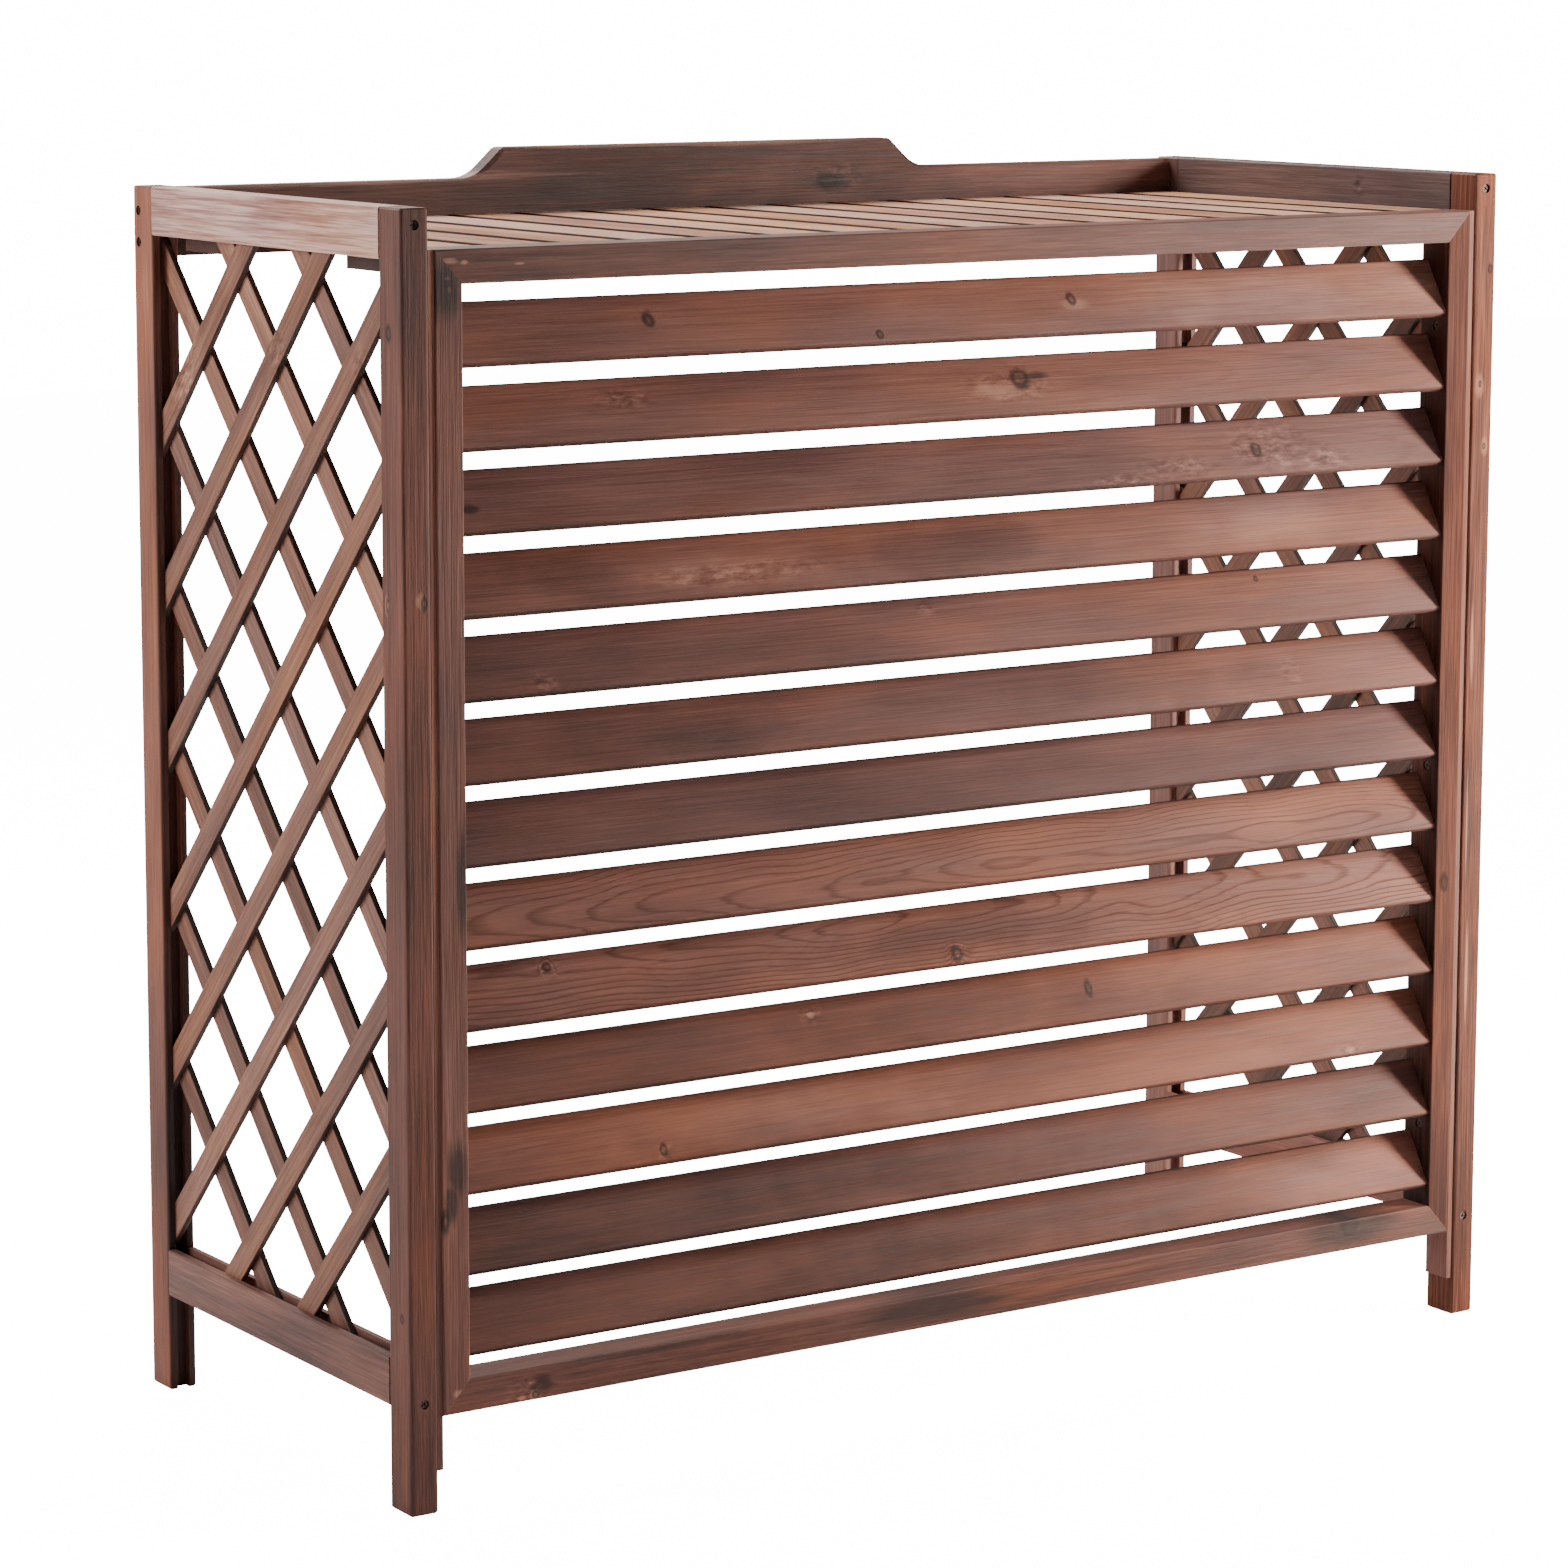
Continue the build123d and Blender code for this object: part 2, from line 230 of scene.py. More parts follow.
def makePineGrain():
    tree = bpy.data.node_groups.new("charredPineGrain", "ShaderNodeTree")
    given = addInputs(tree, (
        ("Grain", "NodeSocketVector", (0, 0, 0)),  # metres, X along the fibres
        ("Seed", "NodeSocketFloat", 0),
        ("Tone", "NodeSocketFloat", 0),
        ("Contrast", "NodeSocketFloat", 1),
        ("Warmth", "NodeSocketFloat", 0),  # -1 violet to 1 orange
        ("Rings", "NodeSocketFloat", 0.4),
        ("Knot", "NodeSocketFloat", 9),  # 1 at a knot's rim
        ("Char", "NodeSocketFloat", 0),
        ("Pale", "NodeSocketFloat", 0),
        ("Burl", "NodeSocketFloat", 0),
    ))
    for label, kind in (("Color", "Color"), ("Roughness", "Float"), ("Height", "Float")):
        tree.interface.new_socket(label, in_out="OUTPUT", socket_type="NodeSocket" + kind)
    ranges = charredPine["ranges"]
    seedShift = addNode(tree, "ShaderNodeVectorMath", {
        0: charredPine["seedStep"], "Scale": given["Seed"],
    }, operation="SCALE")
    place = addNode(tree, "ShaderNodeVectorMath", (given["Grain"], seedShift), operation="ADD")

    def fibres(along, across, detail, roughness):
        # noise drawn out along the fibres
        scale = (1000 / along, 1000 / across, 1000 / across)
        drawn = addNode(tree, "ShaderNodeVectorMath", (place, scale), operation="MULTIPLY")
        return addNode(tree, "ShaderNodeTexNoise", {
            "Vector": drawn, "Scale": 1, "Detail": detail, "Roughness": roughness,
        })

    def centred(value, amount):
        # noise from 0 to 1 becomes a swing round nought
        moved = addNode(tree, "ShaderNodeMath", (value, 0.5), operation="SUBTRACT")
        return addNode(tree, "ShaderNodeMath", (moved, amount), operation="MULTIPLY")

    noise = {name: fibres(*size) for name, size in charredPine["fibres"].items()}
    knot = centred(noise["knotEdge"], charredPine["knotSwing"])
    knot = addNode(tree, "ShaderNodeMath", (knot, given["Knot"]), operation="ADD")

    # growth rings round a pith below the face; the nearer it lies, the longer their flames
    asideReach, asideStart = charredPine["pithAside"]
    chance = addNode(tree, "ShaderNodeTexWhiteNoise", {"W": given["Seed"]}, noise_dimensions="1D")
    chosen = (chance.node.outputs["Color"], asideReach, asideStart)
    aside = addNode(tree, "ShaderNodeVectorMath", chosen, operation="MULTIPLY_ADD")
    depth = addNode(tree, "ShaderNodeMapRange", (given["Rings"], *ranges["pithDepth"]))
    depth = addNode(tree, "ShaderNodeCombineXYZ", {"Z": depth})
    offPith = addNode(tree, "ShaderNodeVectorMath", (given["Grain"], aside), operation="ADD")
    stretched = (offPith, charredPine["pithStretch"], depth)
    offPith = addNode(tree, "ShaderNodeVectorMath", stretched, operation="MULTIPLY_ADD")
    offPith = addNode(tree, "ShaderNodeVectorMath", (offPith,), operation="LENGTH")
    slowSway, fineSway = [
        centred(noise[name], amount)
        for name, amount in zip(("wander", "streaks"), charredPine["ringSway"])
    ]
    swayed = (slowSway, given["Rings"], offPith.node.outputs["Value"])
    radius = addNode(tree, "ShaderNodeMath", swayed, operation="MULTIPLY_ADD")
    radius = addNode(tree, "ShaderNodeMath", (fineSway, radius), operation="ADD")
    spacing = charredPine["ringSpacing"] * mm
    turns = addNode(tree, "ShaderNodeMath", (radius, spacing), operation="DIVIDE")
    bent = (knot, *ranges["knotBend"])
    bend = addNode(tree, "ShaderNodeMapRange", bent, interpolation_type="SMOOTHERSTEP")
    turns = addNode(tree, "ShaderNodeMath", (turns, bend), operation="ADD")
    saw = addNode(tree, "ShaderNodeMath", (turns,), operation="FRACT")
    begun = (saw, *ranges["lateStart"])
    rise = addNode(tree, "ShaderNodeMapRange", begun, interpolation_type="SMOOTHSTEP")
    fade = addNode(tree, "ShaderNodeMapRange", (saw, *ranges["lateEnd"]))
    line = addNode(tree, "ShaderNodeMath", (rise, fade), operation="MULTIPLY")
    ring = addNode(tree, "ShaderNodeMath", (line, given["Rings"]), operation="MULTIPLY")

    # how light the face is, from burn, streaks and curly figure together
    tone = addNode(tree, "ShaderNodeMath", (given["Tone"], 0.5), operation="ADD")
    burn = centred(noise["burn"], charredPine["burnSwing"])
    tone = addNode(tree, "ShaderNodeMath", (burn, tone), operation="ADD")
    for name, (amount, share) in charredPine["toneSwings"].items():
        swung = (centred(noise[name], amount), given[share], tone)
        tone = addNode(tree, "ShaderNodeMath", swung, operation="MULTIPLY_ADD")

    # edges that hands and the brush have rubbed
    wearRadius = charredPine["wearRadius"] * mm
    rounded = addNode(tree, "ShaderNodeBevel", {"Radius": wearRadius}, samples=4)
    facing = addNode(tree, "ShaderNodeNewGeometry").node.outputs["Normal"]
    turned = addNode(tree, "ShaderNodeVectorMath", (rounded, facing), operation="DOT_PRODUCT")
    edge = addNode(tree, "ShaderNodeMapRange", (turned.node.outputs["Value"], *ranges["arris"]))
    rubbed = addNode(tree, "ShaderNodeMapRange", (noise["rubbed"], *ranges["rubbed"]))
    wear = addNode(tree, "ShaderNodeMath", (edge, rubbed), operation="MULTIPLY")
    worn = (wear, charredPine["wearLift"], tone)
    tone = addNode(tree, "ShaderNodeMath", worn, operation="MULTIPLY_ADD")

    ramp = addNode(tree, "ShaderNodeValToRGB", {"Fac": tone})
    stops = ramp.node.color_ramp.elements
    for index, (position, colour) in enumerate(charredPine["tones"]):
        stop = stops[index] if index < 2 else stops.new(position)
        stop.position = position
        stop.color = linearColour(colour)

    # the hue drifts between orange and grey violet
    lean = addNode(tree, "ShaderNodeMath", (given["Warmth"], 0.5, 0.5), operation="MULTIPLY_ADD")
    for name, amount in charredPine["hueSwings"].items():
        drift = centred(noise[name], amount)
        lean = addNode(tree, "ShaderNodeMath", (lean, drift), operation="ADD")
    cool, warm = linearColour(charredPine["cool"]), linearColour(charredPine["warm"])
    tint = addNode(tree, "ShaderNodeMix", {0: lean, 6: cool, 7: warm}, data_type="RGBA")
    tinted = {0: 1.0, 6: ramp, 7: tint.node.outputs[2]}
    colour = addNode(tree, "ShaderNodeMix", tinted, data_type="RGBA", blend_type="SOFT_LIGHT")

    # then latewood, scuffs, char patches, and knots with a dark rim round a paler core
    shaded = (ring, charredPine["ringShade"])
    layers = {"latewood": addNode(tree, "ShaderNodeMath", shaded, operation="MULTIPLY")}
    ragged = centred(noise["streaks"], charredPine["patchSwing"])
    for name, label in (("pale", "Pale"), ("char", "Char")):
        near = addNode(tree, "ShaderNodeMath", (given[label], ragged), operation="ADD")
        layers[name] = addNode(tree, "ShaderNodeMapRange", (near, *ranges[name]))
    rim, core = [
        addNode(tree, "ShaderNodeMapRange", (knot, *ranges[part]), interpolation_type="SMOOTHSTEP")
        for part in ("knotRim", "knotCore")
    ]
    layers["knot"] = addNode(tree, "ShaderNodeMath", (rim, core), operation="SUBTRACT")
    for name, amount in layers.items():
        under, over = colour.node.outputs[2], linearColour(charredPine[name])
        colour = addNode(tree, "ShaderNodeMix", {0: amount, 6: under, 7: over}, data_type="RGBA")

    roughness = addNode(tree, "ShaderNodeMapRange", (noise["streaks"], *ranges["roughness"]))
    heights = charredPine["heights"]
    height = centred(noise["lines"], heights["lines"])
    for name, value in (("streaks", noise["streaks"]), ("ring", ring), ("rim", rim)):
        raised = (value, heights[name], height)
        height = addNode(tree, "ShaderNodeMath", raised, operation="MULTIPLY_ADD")
    addNode(tree, "NodeGroupOutput", {
        "Color": colour.node.outputs[2], "Roughness": roughness, "Height": height,
    })
    return tree


pineGrain = makePineGrain()
grainTurns = {"x": (0, 0, 0), "y": (0, 0, 90), "z": (0, -90, 0)}  # degrees
marks = {
    "tones": {"Light": 0.1, "Shade": -0.1},  # broad soft patches of painted light and painted shade, in part the wood's own paler and darker places
    "scale": 22, "swing": 1.6, "middle": 0.8,  # ragged at their edges
    "fade": (1.4, 0.2, 0, 1),  # in reaches from the middle
    "narrow": (0.97, 0.6),  # cosine between a face and the broad ones
}


def makePine(name, look):
    # look: grain axis or attribute, the group's own values, and marks, each a place and its reach
    material = bpy.data.materials.new(name)
    material.use_nodes = True
    tree = material.node_tree
    shader = tree.nodes["Principled BSDF"]
    shader.inputs["IOR"].default_value = charredPine["ior"]
    shader.inputs["Specular IOR Level"].default_value = look.get("specular", 0.35)
    objectPlace = addNode(tree, "ShaderNodeTexCoord").node.outputs["Object"]
    inputs = {
        "Contrast": look.get("contrast", 1),
        "Warmth": look.get("warmth", 0),
        "Rings": look.get("rings", 0.2),
    }

    def lighten(value, share=1):
        changed = (value, share, inputs["Tone"])
        inputs["Tone"] = addNode(tree, "ShaderNodeMath", changed, operation="MULTIPLY_ADD")

    if look["grain"] == "attribute":
        grain = addNode(tree, "ShaderNodeAttribute", attribute_name="grain")
        inputs["Grain"] = grain.node.outputs["Vector"]
        for label in ("Seed", "Tone", "Rings", "Warmth"):
            board = addNode(tree, "ShaderNodeAttribute", attribute_name="board" + label)
            inputs[label] = board.node.outputs["Fac"]
        lighten(look.get("tone", 0))
        if "rim" in look:  # painted shade: darker along both long edges, where the gaps between boards lie in shade, or along the upper one alone
            across = addNode(tree, "ShaderNodeSeparateXYZ", (inputs["Grain"],)).node.outputs["Y"]
            if not look.get("upperRimOnly"):
                across = addNode(tree, "ShaderNodeMath", (across,), operation="ABSOLUTE")
            half, reach, depth = look["rim"]  # half the width, how far in, and by how much
            near = (across, (half - reach) * mm, half * mm, 0, -depth)
            lighten(addNode(tree, "ShaderNodeMapRange", near, interpolation_type="SMOOTHSTEP"))
    else:
        inputs["Grain"] = addNode(tree, "ShaderNodeMapping", {
            "Vector": objectPlace, "Location": look["middle"],
            "Rotation": tuple(radians(a) for a in grainTurns[look["grain"]]),
        }, vector_type="TEXTURE")
        inputs["Seed"] = look["seed"]
        inputs["Tone"] = look.get("tone", 0)
    if "slope" in look:  # painted light: lighter towards one end, in tone for each metre, as the light falls stronger there
        lighten(addNode(tree, "ShaderNodeSeparateXYZ", (inputs["Grain"],)), look["slope"])
    if "broad" in look:  # painted shade: faces other than the broad ones are darker, as they lie in shade
        facing = addNode(tree, "ShaderNodeNewGeometry").node.outputs["Normal"]
        pair = (facing, look["broad"])
        flat = addNode(tree, "ShaderNodeVectorMath", pair, operation="DOT_PRODUCT")
        flat = addNode(tree, "ShaderNodeMath", (flat.node.outputs["Value"],), operation="ABSOLUTE")
        narrow = (flat, *marks["narrow"], 0, -look["narrowFaceShade"])
        lighten(addNode(tree, "ShaderNodeMapRange", narrow))
    for label in ("Knot", "Char", "Pale", "Burl", "Light", "Shade"):
        found = None
        for place, reach in look.get(label.lower() + "s", ()):
            local = addNode(tree, "ShaderNodeMapping", {
                "Vector": objectPlace, "Location": toMetres(place), "Scale": toMetres(reach),
            }, vector_type="TEXTURE")
            away = addNode(tree, "ShaderNodeVectorMath", (local,), operation="LENGTH")
            away = away.node.outputs["Value"]
            if found:
                away = addNode(tree, "ShaderNodeMath", (found, away), operation="MINIMUM")
            found = away
        # Light and Shade patches: painted light and painted shade in part, lifting or lowering the
        # tone where the light falls stronger or weaker
        if found and label in marks["tones"]:
            ragged = addNode(tree, "ShaderNodeTexNoise", {
                "Vector": inputs["Grain"], "Scale": marks["scale"], "Detail": 3,
            })
            torn = (ragged, marks["swing"], found)
            found = addNode(tree, "ShaderNodeMath", torn, operation="MULTIPLY_ADD")
            found = addNode(tree, "ShaderNodeMath", (found, marks["middle"]), operation="SUBTRACT")
        if found and label != "Knot":
            near = (found, *marks["fade"])
            found = addNode(tree, "ShaderNodeMapRange", near, interpolation_type="SMOOTHSTEP")
        if found and label in marks["tones"]:
            lighten(found, marks["tones"][label])
        elif found:
            inputs[label] = found
    pine = addNode(tree, "ShaderNodeGroup", node_tree=pineGrain).node
    for label, value in inputs.items():
        if isinstance(value, bpy.types.NodeSocket):
            tree.links.new(value, pine.inputs[label])
        else:
            pine.inputs[label].default_value = value
    colour = addNode(tree, "ShaderNodeHueSaturation", {
        "Color": pine.outputs["Color"],
        "Hue": 0.5 + look.get("yellower", 0),
        "Saturation": look.get("richer", 1),
    })
    bump = addNode(tree, "ShaderNodeBump", {
        "Height": pine.outputs["Height"], **charredPine["bump"],
    })
    tree.links.new(colour, shader.inputs["Base Color"])
    tree.links.new(pine.outputs["Roughness"], shader.inputs["Roughness"])
    tree.links.new(bump, shader.inputs["Normal"])
    return material


def runTree(tree, name, values, start):
    holder = linkToScene(bpy.data.objects.new(name, start))
    modifier = holder.modifiers.new(name, "NODES")
    modifier.node_group = tree
    for item in tree.interface.items_tree:
        if item.in_out == "INPUT" and item.name in values:
            modifier[item.identifier] = values[item.name]
    return holder


def finishMesh(holder, name, slot, *nodes):
    # the evaluated tree becomes a plain mesh that rides on the one body
    evaluated = holder.evaluated_get(bpy.context.evaluated_depsgraph_get())
    mesh = bpy.data.meshes.new_from_object(evaluated)
    holder.modifiers.clear()
    holder.data = mesh
    mesh.name = name
    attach(holder, "root")
    if nodes:
        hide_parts(*nodes)


# Rows of boards: louvre slats and deck boards
def makeBoardRow():
    # one board on each point, which carries the board's own tone, rings, warmth and seed
    tree = bpy.data.node_groups.new("boardRow", "GeometryNodeTree")
    given = addInputs(tree, (
        ("Geometry", "NodeSocketGeometry", None),
        ("Length", "NodeSocketFloat", 1),
        ("Width", "NodeSocketFloat", 0.05),
        ("Thickness", "NodeSocketFloat", 0.01),
        ("Edge Round", "NodeSocketFloat", 0.002),
        ("Turn", "NodeSocketVector", (0, 0, 0)),
        ("Twist", "NodeSocketFloat", 0),
        ("Seed", "NodeSocketInt", 1),
        ("Material", "NodeSocketMaterial", None),
    ))
    tree.interface.new_socket("Geometry", in_out="OUTPUT", socket_type="NodeSocketGeometry")
    halfLength = addNode(tree, "ShaderNodeMath", (given["Length"], 0.5), operation="MULTIPLY")
    end = addNode(tree, "ShaderNodeCombineXYZ", {"X": halfLength})
    start = addNode(tree, "ShaderNodeVectorMath", (end, (-1, 1, 1)), operation="MULTIPLY")
    spine = addNode(tree, "GeometryNodeCurvePrimitiveLine", {"Start": start, "End": end})
    outline = addNode(tree, "GeometryNodeCurvePrimitiveQuadrilateral", {
        "Width": given["Width"], "Height": given["Thickness"],
    })
    outline = addNode(tree, "GeometryNodeFilletCurve", {
        "Curve": outline, "Count": 3, "Radius": given["Edge Round"],
    }, mode="POLY")
    bar = addNode(tree, "GeometryNodeCurveToMesh", {
        "Curve": spine, "Profile Curve": outline, "Fill Caps": True,
    })
    place = addNode(tree, "GeometryNodeInputPosition")
    bar = addNode(tree, "GeometryNodeStoreNamedAttribute", {
        "Geometry": bar, "Name": "grain", "Value": place,
    }, data_type="FLOAT_VECTOR", domain="POINT")
    twistLow = addNode(tree, "ShaderNodeMath", (given["Twist"], -1), operation="MULTIPLY")
    twist = addNode(tree, "FunctionNodeRandomValue", {
        2: twistLow, 3: given["Twist"], "Seed": given["Seed"],
    }, data_type="FLOAT").node.outputs[1]
    twist = addNode(tree, "ShaderNodeCombineXYZ", {"X": twist})
    turn = addNode(tree, "ShaderNodeVectorMath", (given["Turn"], twist), operation="ADD")
    boards = addNode(tree, "GeometryNodeInstanceOnPoints", {
        "Points": given["Geometry"], "Instance": bar, "Rotation": turn,
    })
    solid = addNode(tree, "GeometryNodeRealizeInstances", {"Geometry": boards})
    solid = addNode(tree, "GeometryNodeSetMaterial", {
        "Geometry": solid, "Material": given["Material"],
    })
    addNode(tree, "NodeGroupOutput", {"Geometry": solid})
    return tree


boardRow = makeBoardRow()


def addLayer(mesh, label, values):
    # one number or one vector for each vertex
    kind = "FLOAT" if isinstance(values[0], (int, float)) else "FLOAT_VECTOR"
    layer = mesh.attributes.new(label, kind, "POINT")
    if kind == "FLOAT":
        layer.data.foreach_set("value", values)
    else:
        layer.data.foreach_set("vector", [c for v in values for c in v])


def makeBoards(name, slot, places, sizes, turn, nodes):
    points = bpy.data.meshes.new(name)
    points.from_pydata([toMetres(p) for p in places], [], [])
    addLayer(points, "boardTone", sizes["tones"])
    addLayer(points, "boardRings", sizes["rings"])
    addLayer(points, "boardWarmth", sizes["warmths"])
    seeds = [sizes["seed"] + sizes["seedStep"] * n for n in range(len(places))]
    addLayer(points, "boardSeed", seeds)
    holder = runTree(boardRow, name, {
        "Length": sizes["length"] * mm,
        "Width": sizes["width"] * mm,
        "Thickness": sizes["thickness"] * mm,
        "Edge Round": sizes["round"] * mm,
        "Turn": turn,
        "Twist": radians(sizes["twist"]),
        "Seed": sizes["seed"],
        "Material": makePine(sizes["finish"], sizes["look"]),
    }, points)
    finishMesh(holder, name, slot, *nodes)


louvre = {
    "pitch": 65, "width": 54, "thickness": 9.5, "round": 3, "length": 1006.6,
    "tilt": 60, "twist": 0.4,  # degrees
    "topZ": 924.75, "middleY": -205.98, "seed": 3, "seedStep": 1.37,
    "tones": (  # these three run from the top slat down
        0.07, 0.07, 0.0, -0.02, -0.05, -0.03, -0.11, 0.0, 0.01, -0.08, -0.04, -0.14, -0.13,
    ),
    "rings": (0.15, 0.25, 0.3, 0.1, 0.15, 0.15, 0.1, 1.0, 1.2, 0.25, 0.15, 0.1, 0.1),
    "warmths": (-0.3, -0.3, -0.7, -0.1, -0.4, -0.5, -1.0, 0.05, 0.0, 0.2, 0.5, -0.2, 0.1),
    "finish": "charredPineLouvre",
    "look": {
        "grain": "attribute", "contrast": 0.6, "specular": 0.2, "richer": 0.94, "slope": 0.09,
        "rim": (27, 3, 0.3), "upperRimOnly": True, "narrowFaceShade": 0.25,
        "knots": (
            ((-318, -208, 930), (4, 60, 4.5)), ((-104, -220, 910), (2.5, 60, 2.5)),
            ((97, -208, 930), (3.5, 60, 3.5)), ((46, -208, 866), (7, 60, 6)),
            ((294, -212, 794), (4, 60, 4)), ((304, -202, 681), (2, 60, 2)),
            ((-410, -202, 421), (3, 60, 2.5)), ((-22, -218, 392), (4.5, 60, 4.5)),
            ((123, -209, 343), (3, 60, 5)), ((-311, -218, 263), (2.5, 60, 3.5)),
        ),
        "pales": (
            ((20, -205, 858), (30, 60, 6)), ((100, -208, 926), (18, 60, 5)),
            ((404, -221, 258), (9, 60, 3)), ((-159, -204, 353), (5, 60, 3)),
        ),
        "burls": (
            ((308, -212, 796), (46, 60, 22)), ((365, -212, 784), (30, 60, 12)),
            ((455, -212, 762), (22, 60, 9)), ((205, -212, 784), (44, 60, 10)),
            ((150, -212, 776), (44, 60, 8)), ((30, -205, 860), (45, 60, 12)),
            ((-20, -218, 392), (16, 60, 10)), ((-410, -202, 420), (14, 60, 8)),
            ((-159, -204, 353), (12, 60, 8)), ((-311, -218, 262), (9, 60, 8)),
            ((-420, -219, 651), (13, 60, 9)), ((-45, -202, 681), (10, 60, 7)),
            ((-340, -207, 868), (26, 60, 9)), ((-240, -240, 725), (100, 60, 10)),
            ((404, -221, 258), (18, 60, 7)), ((338, -240, 600), (14, 60, 14)),
        ),
        "chars": (((-484, -214, 791), (10, 60, 5)), ((62, -207, 868), (18, 60, 4))),
        # lights and shades: painted light and painted shade in part, and in part the wood's own
        # paler and darker places
        "lights": (
            ((-250, -212, 728), (90, 60, 16)), ((-181, -211, 274), (160, 60, 20)),
            ((420, -212, 145), (150, 60, 20)), ((330, -212, 730), (120, 60, 20)),
            ((300, -212, 925), (150, 60, 20)),
        ),
        "shades": (
            ((-40, -207, 730), (150, 60, 20)), ((0, -205, 404), (170, 60, 20)),
            ((0, -205, 339), (200, 60, 20)), ((20, -205, 145), (220, 60, 20)),
            ((-400, -205, 730), (60, 60, 20)), ((-330, -212, 600), (120, 60, 20)),
            ((-60, -205, 210), (160, 60, 20)), ((180, -205, 600), (130, 60, 20)),
        ),
    },
}
slatTilt = radians(louvre["tilt"])
louvre["look"]["broad"] = (0, -sin(slatTilt), cos(slatTilt))
slatPlaces = [
    (0, louvre["middleY"], louvre["topZ"] - louvre["pitch"] * n)
    for n in range(len(louvre["tones"]))
]
slatNodes = [f"louvre_slat_{n + 1:02d}" for n in range(len(slatPlaces))]
makeBoards("louvreSlats", "louvre_wood", slatPlaces, louvre, (slatTilt, 0, 0), slatNodes)

deck = {
    "count": 16, "span": 1050, "gap": 5, "thickness": 8, "round": 1.2, "twist": 0,
    "front": -191, "back": 205, "top": 992, "seed": 11, "seedStep": 1.37,
    "swings": {  # from board to board: middle, reach, step and start of a sine
        "tones": (0, 0.1, 2.4, 1), "rings": (0.3, 0.3, 1.9, 0), "warmths": (0, 0.3, 1.3, 0),
    },
    "finish": "charredPineDeck",
    "look": {
        "grain": "attribute", "tone": 0.42, "contrast": 1.4,
        "richer": 1.06, "yellower": 0.008, "specular": 0.02, "rim": (30.3, 8, 1.4),
        "broad": (0, 0, 1), "narrowFaceShade": 0.8,
    },
}
deckPitch = deck["span"] / deck["count"]
deckBoards = range(deck["count"])
deck["width"] = deckPitch - deck["gap"]
deck["length"] = deck["back"] - deck["front"]
for label, (level, swing, step, start) in deck["swings"].items():
    deck[label] = [level + swing * sin(step * n + start) for n in deckBoards]
deckMiddle = ((deck["front"] + deck["back"]) / 2, deck["top"] - deck["thickness"] / 2)
deckPlaces = [((deckPitch - deck["span"]) / 2 + deckPitch * n, *deckMiddle) for n in deckBoards]
deckNodes = [f"deck_slat_{n + 1:02d}" for n in deckBoards]
makeBoards("deckBoards", "deck_wood", deckPlaces, deck, (0, 0, pi / 2), deckNodes)
print("slats and deck boards made")


# Lattice laths, cut to the grooves and eased along their edges
lattice = {
    "width": 22.5, "thickness": 5.5, "run": 127, "rise": 135, "count": 8, "ease": 0.9,
    "halfSpan": 198.5, "low": 115.5, "high": 991.5, "middle": 553.5,
    "seedStep": 1.7,
    "swings": {  # from lath to lath: middle, reach and step of a sine, and the seed's share in it
        "boardRings": (0.3, 0.2, 1.3, 1), "boardWarmth": (0.1, 0.4, 1.7, 3),
    },
    "sides": {  # middle plane, whether the outer layer rises to the back, and tone shifts; the right side's darker shifts are painted shade, most on its inner layer, whose faces lie in shade
        "right": (537.25, True, {"outer": -0.03, "inner": -0.14}),
        "left": (-537.25, False, {"outer": 0.03, "inner": 0.02}),
    },
    "layers": {  # seed, and tones from the top lath down
        "outer": (7, (-0.08, -0.07, -0.12, -0.03, -0.04, -0.01, -0.04, -0.12)),
        "inner": (4, (-0.03, 0.01, 0.01, 0.0, -0.12, -0.08, -0.09, -0.2)),
    },
    "finish": "charredPineLattice",
    "look": {
        "grain": "attribute", "contrast": 1.2, "richer": 0.92, "yellower": 0.008,
        "broad": (1, 0, 0), "narrowFaceShade": 0.4,
        # lights: painted light in part, and in part the laths' own paler places
        "lights": (((-543, 140, 885), (60, 30, 60)), ((-543, 57, 964), (60, 20, 30))),
        "burls": (
            ((-543, 150, 870), (60, 26, 60)), ((-543, -11, 905), (60, 14, 26)),
            ((-543, -148, 895), (60, 14, 20)),
        ),
    },
}


def clipped(points, axis, limit, keepBelow):
    # cuts a convex outline by one level or upright line
    kept = []
    for index, here in enumerate(points):
        after = points[(index + 1) % len(points)]
        inside = [(p[axis] <= limit) == keepBelow for p in (here, after)]
        if inside[0]:
            kept.append(here)
        if inside[0] != inside[1]:
            share = (limit - here[axis]) / (after[axis] - here[axis])
            kept.append(here.lerp(after, share))
    return kept


